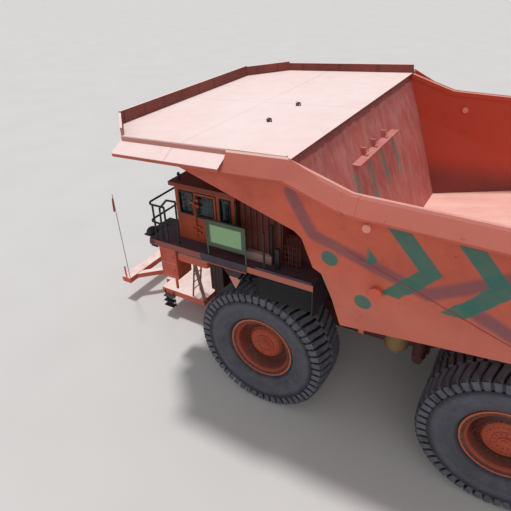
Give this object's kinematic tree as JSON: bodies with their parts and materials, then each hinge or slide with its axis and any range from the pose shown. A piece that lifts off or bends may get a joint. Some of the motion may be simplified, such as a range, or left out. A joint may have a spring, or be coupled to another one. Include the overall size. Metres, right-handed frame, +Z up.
{
  "type": "mining_dump_truck",
  "caption": "Rigid-frame diesel-electric mining dump truck in weathered salmon red, with a canopied tipping bed, offset cab and dual rear wheels",
  "frame": {"origin": "on the ground, under the middle of the truck's box", "axes": "+X is the driving direction, +Y the cab side (left), +Z up"},
  "size_m": [18.35, 9.5226, 8.2897],
  "materials": {
    "body_paint": "weathered salmon-red paint, dusty on top",
    "bed_paint": "weathered salmon-red paint with faded pink tops",
    "dark_paint": "worn black paint",
    "rail_paint": "worn black paint",
    "rim_paint": "orange-red paint, dusty",
    "tyre_rubber": "dusty dark grey rubber",
    "axle_paint": "greasy dark red paint",
    "hoist_paint": "greasy red paint",
    "rod_chrome": "polished rod",
    "strut_steel": "worn steel",
    "window_glass": "tinted glass",
    "seat_cover": "dark seat cover",
    "cab_plastic": "dark plastic",
    "engine_iron": "oily cast iron",
    "pole_plastic": "pale whip pole",
    "flag_cloth": "orange cloth"
  },
  "bodies": {
    "chassis": {"frame": "body_paint", "front_bumper": "body_paint", "boarding_ladders": "dark_paint", "deck": "dark_paint", "handrails": "rail_paint", "cab_walls": "body_paint", "cab_roof": "body_paint", "cab_glass": "window_glass", "cab_seat": "seat_cover", "cab_console": "cab_plastic", "engine_block": "engine_iron", "radiator": "dark_paint", "control_cabinet": "body_paint", "grid_box": "body_paint", "corner_boxes": "body_paint", "tanks": "body_paint", "rear_axle": "body_paint", "struts": "strut_steel", "headlamps": "dark_paint", "whip_pole": "pole_plastic", "whip_flag": "flag_cloth"},
    "bed": {"bed_floor": "bed_paint", "bed_front_wall": "bed_paint", "bed_sides": "bed_paint", "bed_canopy": "bed_paint", "bed_underframe": "body_paint"},
    "cab_door_body": {"cab_door": "body_paint", "cab_door_glass": "window_glass"},
    "left_knuckle_body": {"left_knuckle": "axle_paint"},
    "right_knuckle_body": {"right_knuckle": "axle_paint"},
    "tie_rod_body": {"tie_rod": "axle_paint"},
    "front_left_wheel": {"front_left_tyre": "tyre_rubber", "front_left_rim": "rim_paint"},
    "front_right_wheel": {"front_right_tyre": "tyre_rubber", "front_right_rim": "rim_paint"},
    "rear_left_wheels": {"rear_left_tyres": "tyre_rubber", "rear_left_rims": "rim_paint"},
    "rear_right_wheels": {"rear_right_tyres": "tyre_rubber", "rear_right_rims": "rim_paint"},
    "left_hoist_barrel_body": {"left_hoist_barrel": "hoist_paint"},
    "left_hoist_stage_body": {"left_hoist_stage": "rod_chrome"},
    "left_hoist_rod_body": {"left_hoist_rod": "rod_chrome"},
    "right_hoist_barrel_body": {"right_hoist_barrel": "hoist_paint"},
    "right_hoist_stage_body": {"right_hoist_stage": "rod_chrome"},
    "right_hoist_rod_body": {"right_hoist_rod": "rod_chrome"}
  },
  "joints": [
    {"name": "bed_hinge", "type": "hinge", "parent": "chassis", "child": "bed", "pos_m": [-6.225, 0, 3.25], "axis": [0, -1, 0], "range_deg": [0, 45]},
    {"name": "left_hoist_swing", "type": "hinge", "parent": "chassis", "child": "left_hoist_barrel_body", "pos_m": [-2.105, 1.29, 1.6], "axis": [0, -1, 0], "range_deg": [0, 20.08]},
    {"name": "left_hoist_stage_slide", "type": "slide", "parent": "left_hoist_barrel_body", "child": "left_hoist_stage_body", "axis": [0.0434, 0, 0.9991], "range_m": [0, 1.5208]},
    {"name": "left_hoist_rod_slide", "type": "slide", "parent": "left_hoist_stage_body", "child": "left_hoist_rod_body", "axis": [0.0434, 0, 0.9991], "range_m": [0, 1.5208]},
    {"name": "right_hoist_swing", "type": "hinge", "parent": "chassis", "child": "right_hoist_barrel_body", "pos_m": [-2.105, -1.29, 1.6], "axis": [0, -1, 0], "range_deg": [0, 20.08]},
    {"name": "right_hoist_stage_slide", "type": "slide", "parent": "right_hoist_barrel_body", "child": "right_hoist_stage_body", "axis": [0.0434, 0, 0.9991], "range_m": [0, 1.5208]},
    {"name": "right_hoist_rod_slide", "type": "slide", "parent": "right_hoist_stage_body", "child": "right_hoist_rod_body", "axis": [0.0434, 0, 0.9991], "range_m": [0, 1.5208]},
    {"name": "left_steer", "type": "hinge", "parent": "chassis", "child": "left_knuckle_body", "pos_m": [1.775, 1.95, 1.965], "axis": [0, 0, 1], "range_deg": [-32, 32]},
    {"name": "right_steer", "type": "hinge", "parent": "chassis", "child": "right_knuckle_body", "pos_m": [1.775, -1.95, 1.965], "axis": [0, 0, 1], "range_deg": [-32, 32]},
    {"name": "tie_rod_pivot", "type": "hinge", "parent": "left_knuckle_body", "child": "tie_rod_body", "pos_m": [1.015, 1.95, 1.245], "axis": [0, 0, 1], "range_deg": [-32, 32]},
    {"name": "front_left_spin", "type": "hinge", "parent": "left_knuckle_body", "child": "front_left_wheel", "pos_m": [1.775, 3.02, 1.965], "axis": [0, 1, 0], "continuous": true},
    {"name": "front_right_spin", "type": "hinge", "parent": "right_knuckle_body", "child": "front_right_wheel", "pos_m": [1.775, -3.02, 1.965], "axis": [0, 1, 0], "continuous": true},
    {"name": "rear_left_spin", "type": "hinge", "parent": "chassis", "child": "rear_left_wheels", "pos_m": [-4.575, 3.18, 1.965], "axis": [0, 1, 0], "continuous": true},
    {"name": "rear_right_spin", "type": "hinge", "parent": "chassis", "child": "rear_right_wheels", "pos_m": [-4.575, -3.18, 1.965], "axis": [0, 1, 0], "continuous": true},
    {"name": "cab_door_hinge", "type": "hinge", "parent": "chassis", "child": "cab_door_body", "pos_m": [3.799, 3.315, 5.5], "axis": [0, 0, -1], "range_deg": [0, 85]}
  ],
  "couplings": [
    {"joint": "left_hoist_swing", "follows": "bed_hinge", "ratio": 0.44185},
    {"joint": "left_hoist_stage_slide", "follows": "bed_hinge", "m_per_rad": 1.9325},
    {"joint": "left_hoist_rod_slide", "follows": "bed_hinge", "m_per_rad": 1.9325},
    {"joint": "right_hoist_swing", "follows": "bed_hinge", "ratio": 0.44185},
    {"joint": "right_hoist_stage_slide", "follows": "bed_hinge", "m_per_rad": 1.9325},
    {"joint": "right_hoist_rod_slide", "follows": "bed_hinge", "m_per_rad": 1.9325},
    {"joint": "right_steer", "follows": "left_steer", "ratio": 1},
    {"joint": "tie_rod_pivot", "follows": "left_steer", "ratio": -1}
  ]
}
